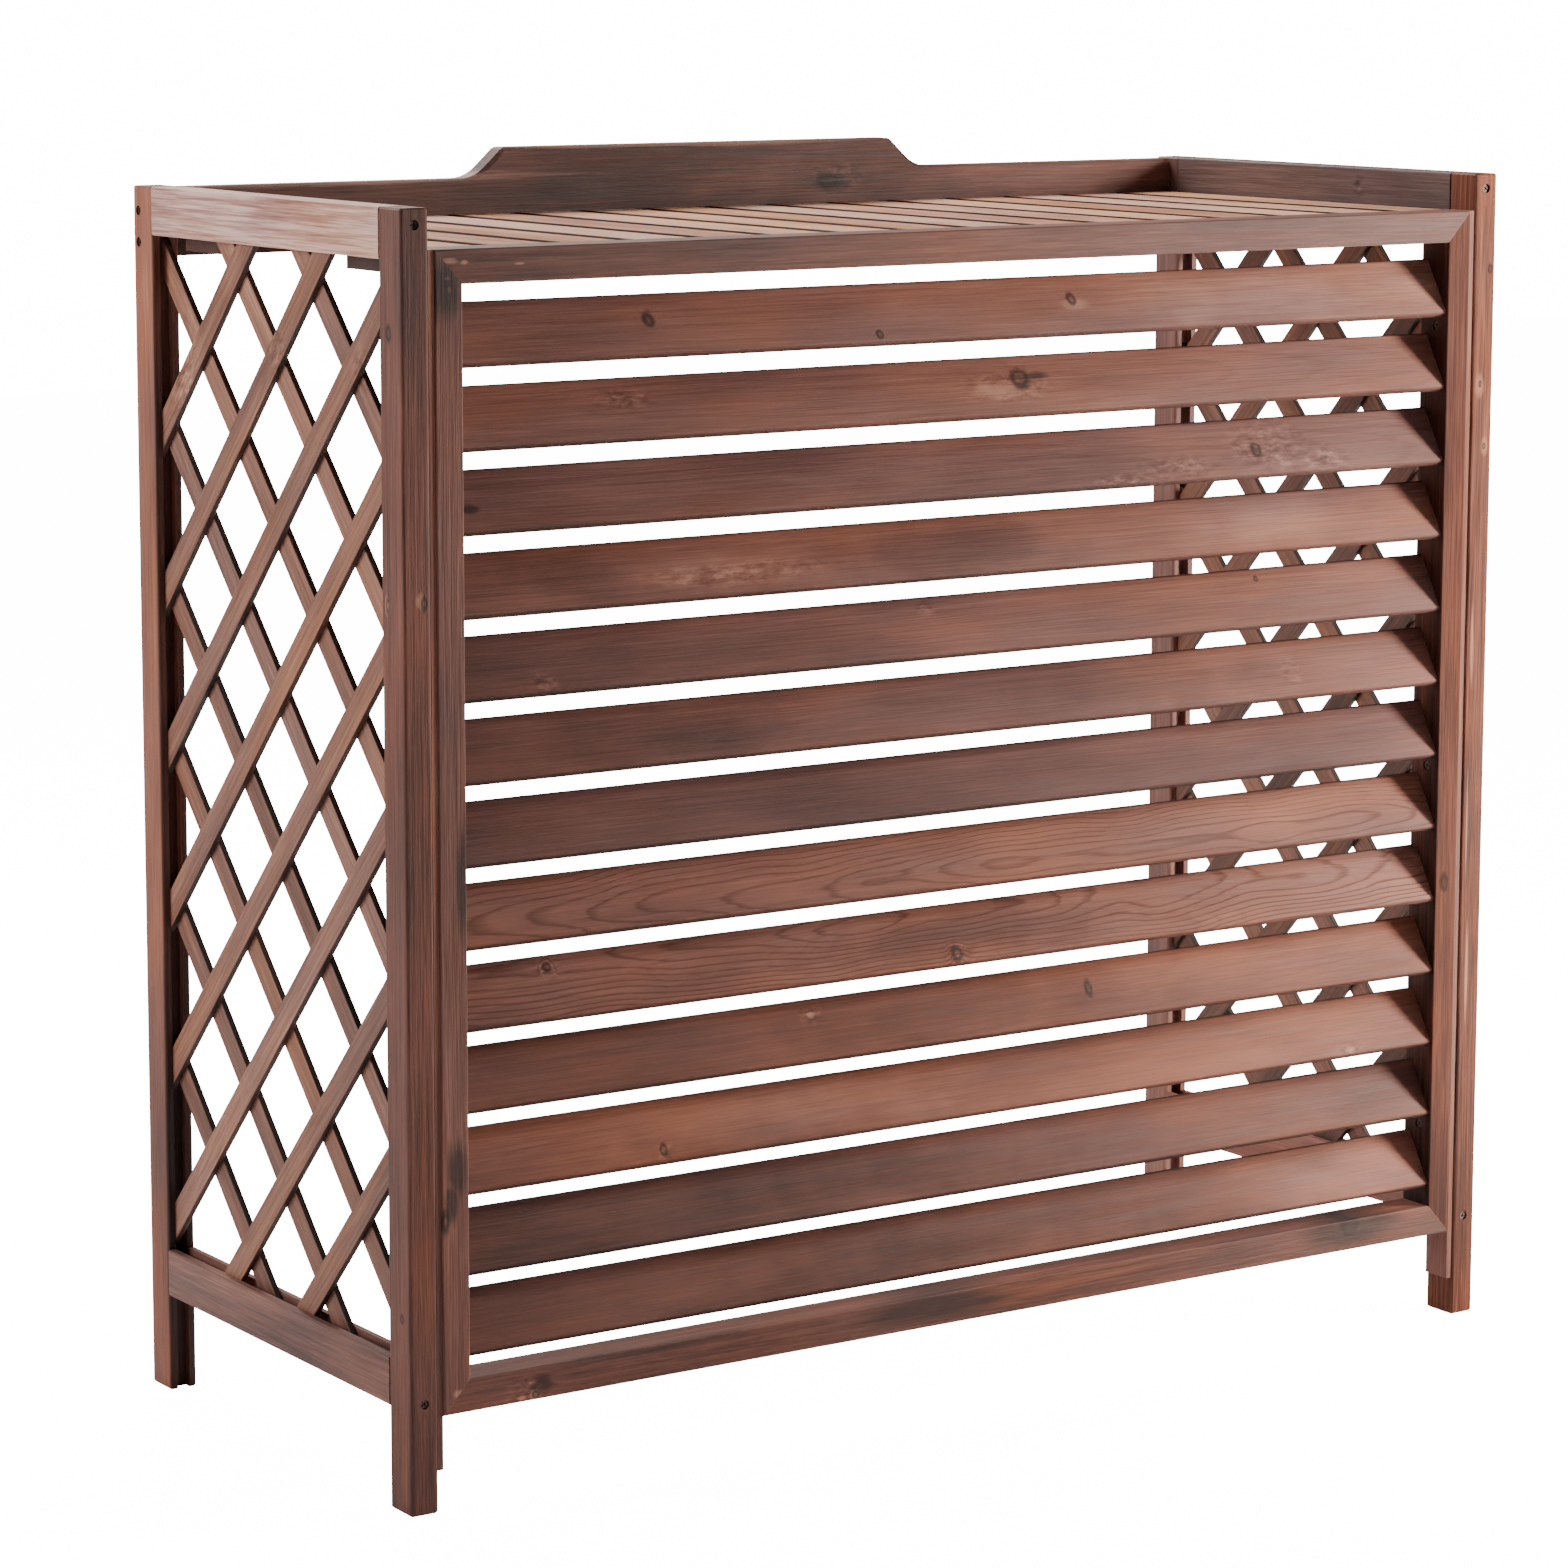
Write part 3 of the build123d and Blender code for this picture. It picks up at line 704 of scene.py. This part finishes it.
def makeLaths(name, xLow, risesToBack, shift, seed, lathTones):
    slope = atan2(lattice["rise"], lattice["run"]) * (1 if risesToBack else -1)
    along = Vector((cos(slope), sin(slope)))
    across = Vector((-sin(slope), cos(slope)))
    reach = hypot(lattice["halfSpan"], lattice["high"])
    halfWidth = lattice["width"] / 2
    corners = [(-1, -1), (1, -1), (1, 1), (-1, 1)]
    opening = (
        (0, lattice["halfSpan"], True), (0, -lattice["halfSpan"], False),
        (1, lattice["high"], True), (1, lattice["low"], False),
    )
    vertices, faces = [], []
    layers = {"grain": [], "boardSeed": [], "boardTone": [], "boardRings": [], "boardWarmth": []}
    for index in range(lattice["count"]):
        fromMiddle = (lattice["count"] - 1) / 2 - index
        centre = Vector((0, lattice["middle"] + lattice["rise"] * fromMiddle))
        outline = [centre + along * reach * a + across * halfWidth * b for a, b in corners]
        for cut in opening:
            outline = clipped(outline, *cut)
        lath = bmesh.new()
        face = lath.faces.new([lath.verts.new((xLow, p.x, p.y)) for p in outline])
        top = bmesh.ops.extrude_face_region(lath, geom=[face])
        lifted = [v for v in top["geom"] if isinstance(v, bmesh.types.BMVert)]
        bmesh.ops.translate(lath, verts=lifted, vec=(lattice["thickness"], 0, 0))
        bmesh.ops.recalc_face_normals(lath, faces=lath.faces)
        bmesh.ops.bevel(
            lath, geom=lath.edges[:], offset=lattice["ease"], segments=2, affect="EDGES",
            profile=0.5,
        )
        own = {
            "boardSeed": seed + index * lattice["seedStep"],
            "boardTone": lathTones[index] + shift,
        }
        for label, (level, swing, step, share) in lattice["swings"].items():
            own[label] = level + swing * sin(index * step + seed * share)
        start = len(vertices)
        for vert in lath.verts:
            flat = Vector((vert.co.y, vert.co.z)) - centre
            vertices.append(toMetres(vert.co))
            onLath = (flat.dot(along), flat.dot(across), vert.co.x - xLow)
            layers["grain"].append(toMetres(onLath))
            for label, value in own.items():
                layers[label].append(value)
        faces += [[start + v.index for v in f.verts] for f in lath.faces]
        lath.free()
    mesh = bpy.data.meshes.new(name)
    mesh.from_pydata(vertices, [], faces)
    for label, values in layers.items():
        addLayer(mesh, label, values)
    piece = linkToScene(bpy.data.objects.new(name, mesh))
    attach(piece, "root")
    return piece


lathPine = makePine(lattice["finish"], lattice["look"])
for side, (middle, outerRises, shifts) in lattice["sides"].items():
    outward = 1 if middle > 0 else -1
    for layer, sign, rises in (("outer", outward, outerRises), ("inner", -outward, not outerRises)):
        xLow = middle if sign > 0 else middle - lattice["thickness"]
        name = f"{side}{layer.title()}Laths"
        laths = makeLaths(name, xLow, rises, shifts[layer], *lattice["layers"][layer])
        laths.data.materials.append(lathPine)
        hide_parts(f"{side}_{layer}_laths")
print("lattice made")


# CAD pieces that keep their shape, each with its own cut of the same wood
plainPieces = {
    "front_left_post": {
        "grain": "z", "tone": -0.2, "contrast": 1.3, "slope": 0.1,
        "knots": (
            ((-550, -206, 929), (60, 3, 5)), ((-550, -201, 719), (60, 2.6, 5)),
            ((-550, -212, 158), (60, 2, 3)), ((-531, -225, 722), (2.2, 60, 4)),
        ),
        "pales": (((-535, -225, 724), (4, 60, 7)), ((-550, -201, 719), (60, 5, 9))),
    },
    "front_right_post": {
        "grain": "z", "tone": -0.15, "contrast": 1.8, "slope": 0.26, "warmth": 0.15,
        "richer": 1.06, "yellower": 0.004, "specular": 0.15,
        "knots": (
            ((535, -225, 840), (1.3, 60, 2.4)), ((541, -225, 785), (1.3, 60, 2.2)),
            ((544, -225, 941), (2, 60, 3)),
        ),
        "pales": (
            ((535, -225, 838), (6, 60, 14)), ((541, -225, 785), (5, 60, 9)),
            ((532, -225, 610), (2, 60, 40)), ((531, -225, 450), (1.6, 60, 60)),
            ((534, -225, 318), (2, 60, 50)),
        ),
    },
    "back_left_post": {
        "grain": "z", "tone": -0.04, "slope": 0.25, "warmth": 0.3,
        "broad": (1, 0, 0), "narrowFaceShade": 0.3,
    },
    "back_right_post": {"grain": "z", "tone": -0.11, "warmth": -0.4, "richer": 0.88},
    "left_top_rail": {"grain": "y", "tone": 0.38, "contrast": 2.3, "warmth": -0.6},
    "right_top_rail": {
        "grain": "y", "tone": -0.12, "slope": -0.2, "warmth": -1.0, "richer": 0.68,
        "burls": (((525, -68, 1008), (60, 9, 10)),),
    },
    "left_bottom_rail": {
        "grain": "y", "tone": -0.12, "contrast": 1.3, "slope": 0.28, "warmth": -0.6,
        "richer": 0.85,
    },
    "right_bottom_rail": {"grain": "y", "tone": 0.0},
    "louvre_frame_left_stile": {
        "grain": "z", "tone": -0.1, "contrast": 1.2, "warmth": -0.3, "richer": 0.93,
        "knots": (((-517, -225, 234), (3, 60, 7)),),
        "chars": (
            ((-506, -225, 274), (11, 60, 30)), ((-511, -225, 248), (8, 60, 20)),
            ((-499, -225, 505), (7, 60, 60)), ((-510, -225, 962), (17, 60, 30)),
        ),
        "pales": (
            ((-506, -225, 94), (6, 60, 4)), ((-509, -225, 970), (4, 60, 2)),
            ((-507, -225, 961), (2, 60, 3)), ((-523, -225, 872), (3, 60, 4)),
            ((-523, -225, 813), (3, 60, 3)), ((-523, -225, 740), (3, 60, 4)),
            ((-523, -225, 933), (3, 60, 3)),
        ),
    },
    "louvre_frame_right_stile": {
        "grain": "z", "tone": -0.23, "contrast": 1.2, "slope": 0.13, "warmth": 0.4,
        "richer": 0.98, "specular": 0.1, "broad": (0, 1, 0), "narrowFaceShade": 0.15,
        "knots": (((506, -225, 398), (3.5, 60, 6)),),
    },
    "louvre_frame_top_rail": {
        "grain": "x", "tone": -0.09, "contrast": 1.2, "slope": 0.15, "warmth": -0.6,
        "richer": 0.94,
        "chars": (((-516, -225, 975), (13, 60, 9)),),
        "pales": (
            ((-507, -225, 983.5), (11, 60, 3)), ((-494, -225, 982), (4, 60, 2.4)),
            ((-445, -225, 979), (5, 60, 1)),
        ),
    },
    "louvre_frame_bottom_rail": {
        "grain": "x", "tone": -0.2, "contrast": 1.2, "slope": -0.05,
        "knots": (((405, -225, 100), (7, 60, 6)), ((-436, -225, 82), (2.5, 60, 2.2))),
        "chars": (
            ((405, -225, 97), (66, 60, 17)), ((-46, -225, 95), (95, 60, 17)),
            ((-430, -225, 90), (12, 60, 9)),
        ),
        "pales": (((-437, -225, 82), (5, 60, 4)), ((-449, -225, 81), (4, 60, 2))),
        "burls": (((-440, -225, 88), (22, 60, 12)),),
    },
    "left_packing_strip": {"grain": "z", "tone": -0.07, "slope": 0.25},
    "right_packing_strip": {"grain": "z", "tone": -0.06, "slope": 0.3},
    "deck_front_batten": {"grain": "x", "tone": -0.42},
    "deck_rear_batten": {"grain": "x", "tone": -0.4},
    "backboard": {
        "grain": "x", "tone": -0.2, "contrast": 1.1, "slope": 0.32, "warmth": -0.4,
        "richer": 0.84,
        "knots": (((137, 205, 1012), (10, 80, 4)),),
        "chars": (((137, 205, 1010), (26, 80, 10)),),
        "burls": (((145, 205, 1014), (30, 80, 14)),),
        # shades and lights: painted shade and painted light in part, and in part the board's own
        # darker and paler places
        "shades": (((-50, 205, 1040), (230, 60, 60)), ((150, 205, 1036), (90, 60, 40))),
        "lights": (((-340, 205, 1018), (210, 60, 120)), ((400, 205, 1014), (120, 60, 30))),
        "pales": (((-370, 205, 1024.5), (260, 60, 5)), ((10, 205, 1049.5), (260, 60, 5))),
    },
}
plainSeeds = {"first": 20, "step": 2.7}
for number, (node, look) in enumerate(plainPieces.items()):
    lowCorner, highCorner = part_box(node)
    look["middle"] = tuple((lowCorner + highCorner) / 2)
    look["seed"] = plainSeeds["first"] + number * plainSeeds["step"]
    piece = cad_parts[node]
    piece.data.materials.clear()
    piece.data.materials.append(makePine("charredPine_" + node, look))
print("posts, rails and frame finished")


# Screws and brads
def makeFastenerTree():
    # one fastener on each point, aimed along the point's own direction and turned at random
    tree = bpy.data.node_groups.new("fastenersOnPoints", "GeometryNodeTree")
    given = addInputs(tree, (
        ("Geometry", "NodeSocketGeometry", None),
        ("Fastener", "NodeSocketObject", None),
        ("Seed", "NodeSocketInt", 1),
        ("Material", "NodeSocketMaterial", None),
    ))
    tree.interface.new_socket("Geometry", in_out="OUTPUT", socket_type="NodeSocketGeometry")
    facing = addNode(tree, "GeometryNodeInputNamedAttribute", {
        "Name": "facing",
    }, data_type="FLOAT_VECTOR")
    aimed = addNode(tree, "FunctionNodeAlignRotationToVector", {"Vector": facing}, axis="Z")
    angle = addNode(tree, "FunctionNodeRandomValue", {
        2: 0.0, 3: 2 * pi, "Seed": given["Seed"],
    }, data_type="FLOAT").node.outputs[1]
    spin = addNode(tree, "FunctionNodeAxisAngleToRotation", {"Axis": (0, 0, 1), "Angle": angle})
    spun = addNode(tree, "FunctionNodeRotateRotation", (aimed, spin), rotation_space="LOCAL")
    shape = addNode(tree, "GeometryNodeObjectInfo", {"Object": given["Fastener"]})
    placed = addNode(tree, "GeometryNodeInstanceOnPoints", {
        "Points": given["Geometry"], "Instance": shape.node.outputs["Geometry"], "Rotation": spun,
    })
    placed = addNode(tree, "GeometryNodeRealizeInstances", {"Geometry": placed})
    placed = addNode(tree, "GeometryNodeSetMaterial", {
        "Geometry": placed, "Material": given["Material"],
    })
    addNode(tree, "NodeGroupOutput", {"Geometry": placed})
    return tree


fastenerTree = makeFastenerTree()


def turnedShape(name, rings, sides):
    # closed shape from rings of (radius or a function of the angle, height), bottom to top
    vertices, faces = [], []
    for radius, z in rings:
        for k in range(sides):
            angle = 2 * pi * k / sides
            r = radius(angle) if callable(radius) else radius
            vertices.append(toMetres((r * cos(angle), r * sin(angle), z)))
    for level in range(len(rings) - 1):
        for k in range(sides):
            a, b = level * sides + k, level * sides + (k + 1) % sides
            faces.append((a, b, b + sides, a + sides))
    faces.append(tuple(reversed(range(sides))))
    faces.append(tuple(range(len(vertices) - sides, len(vertices))))
    mesh = bpy.data.meshes.new(name)
    mesh.from_pydata(vertices, [], faces)
    return bpy.data.objects.new(name, mesh)


def placeFasteners(name, pattern, spots, material, seed, *nodes):
    # spots: place, and outward direction
    points = bpy.data.meshes.new(name)
    points.from_pydata([toMetres(place) for place, outward in spots], [], [])
    addLayer(points, "facing", [outward for place, outward in spots])
    values = {"Fastener": pattern, "Seed": seed, "Material": material}
    finishMesh(runTree(fastenerTree, name, values, points), name, "dark_screw", *nodes)


# Blackened zinc on steel: dark grey metal, a little glossy, dulled by dirt in patches
blackZinc = {
    "metallic": 0.85, "dark": "#2A211E", "light": "#6A5F59", "roughness": (0.3, 0.6),
    "dirt": 700,  # for each metre, so patches of about 1.4 mm
}
zinc = bpy.data.materials.new("blackenedZincScrew")
zinc.use_nodes = True
zincTree = zinc.node_tree
zincShader = zincTree.nodes["Principled BSDF"]
zincShader.inputs["Metallic"].default_value = blackZinc["metallic"]
zincDirt = addNode(zincTree, "ShaderNodeTexNoise", {
    "Vector": addNode(zincTree, "ShaderNodeTexCoord").node.outputs["Object"],
    "Scale": blackZinc["dirt"], "Detail": 3,
})
zincRamp = addNode(zincTree, "ShaderNodeValToRGB", {"Fac": zincDirt})
for stop, shade in zip(zincRamp.node.color_ramp.elements, ("dark", "light")):
    stop.color = linearColour(blackZinc[shade])
smooth, rough = blackZinc["roughness"]
zincRough = addNode(zincTree, "ShaderNodeMapRange", {
    "Value": zincDirt, "To Min": smooth, "To Max": rough,
})
zincTree.links.new(zincRamp, zincShader.inputs["Base Color"])
zincTree.links.new(zincRough, zincShader.inputs["Roughness"])

screw = {
    "sides": 24, "length": 50, "point": 6, "tip": 0.15, "shank": 2, "seed": 4,
    "head": 4, "headHeight": 2.5, "rim": 0.25, "sink": 1.5,
    "armHalf": 0.55, "armReach": 2.05, "armAngle": 15.1, "recess": 1.3, "recessFoot": 0.75,
    "posts": {"x": 537.5, "y": 225, "levels": (1011, 90)},
    "stiles": {"x": 495.5, "y": -209.5, "levels": (892.25, 502.25, 177.25)},
    "backboard": {"x": 550, "y": 215, "levels": (977.5, 1003.5)},
}


def crossOutline(angle):
    # a side of the cross falls on each 15 degrees, so its corners are sharp
    fold = angle % (pi / 2)
    fold = min(fold, pi / 2 - fold)
    if fold < radians(screw["armAngle"]):
        return screw["armReach"] / cos(fold)
    return screw["armHalf"] / sin(fold)


def crossFoot(angle):
    return screw["recessFoot"] * crossOutline(angle)


screwTop = -screw["sink"]
screwShape = turnedShape("woodScrew", (
    (screw["tip"], -screw["length"]),
    (screw["shank"], screw["point"] - screw["length"]),
    (screw["shank"], screwTop - screw["headHeight"]),
    (screw["head"], screwTop - 2 * screw["rim"]),
    (screw["head"], screwTop - screw["rim"]),
    (screw["head"] - screw["rim"], screwTop),
    (crossOutline, screwTop),
    (crossFoot, screwTop - screw["recess"]),
), screw["sides"])
posts, stiles, board = screw["posts"], screw["stiles"], screw["backboard"]
screwSpots = []
for x in (-1, 1):
    for y in (-1, 1):
        screwSpots += [((x * posts["x"], y * posts["y"], z), (0, y, 0)) for z in posts["levels"]]
    screwSpots += [((x * stiles["x"], stiles["y"], z), (-x, 0, 0)) for z in stiles["levels"]]
    screwSpots += [((x * board["x"], board["y"], z), (x, 0, 0)) for z in board["levels"]]
screwNodes = ("rail_screws", "frame_screws", "backboard_screws")
placeFasteners("woodScrews", screwShape, screwSpots, zinc, screw["seed"], *screwNodes)

brad = {
    "sides": 8, "head": 1.1, "shank": 0.5, "length": 9, "point": 1, "tip": 0.1, "seed": 9,
    "headFoot": -0.5, "proud": 0.05, "crown": 0.15, "rows": (-137, 137), "pair": (-16, 16),
}
bradShape = turnedShape("panelBrad", (
    (brad["tip"], -brad["length"]),
    (brad["shank"], brad["point"] - brad["length"]),
    (brad["shank"], brad["headFoot"]),
    (brad["head"], brad["headFoot"]),
    (brad["head"], brad["proud"]),
    (brad["head"] / 2, brad["crown"]),
), brad["sides"])
bradSpots = []
for place in deckPlaces:
    for y in brad["rows"]:
        bradSpots += [((place[0] + shift, y, deck["top"]), (0, 0, 1)) for shift in brad["pair"]]
placeFasteners("deckBrads", bradShape, bradSpots, zinc, brad["seed"])
print("screws and brads placed")
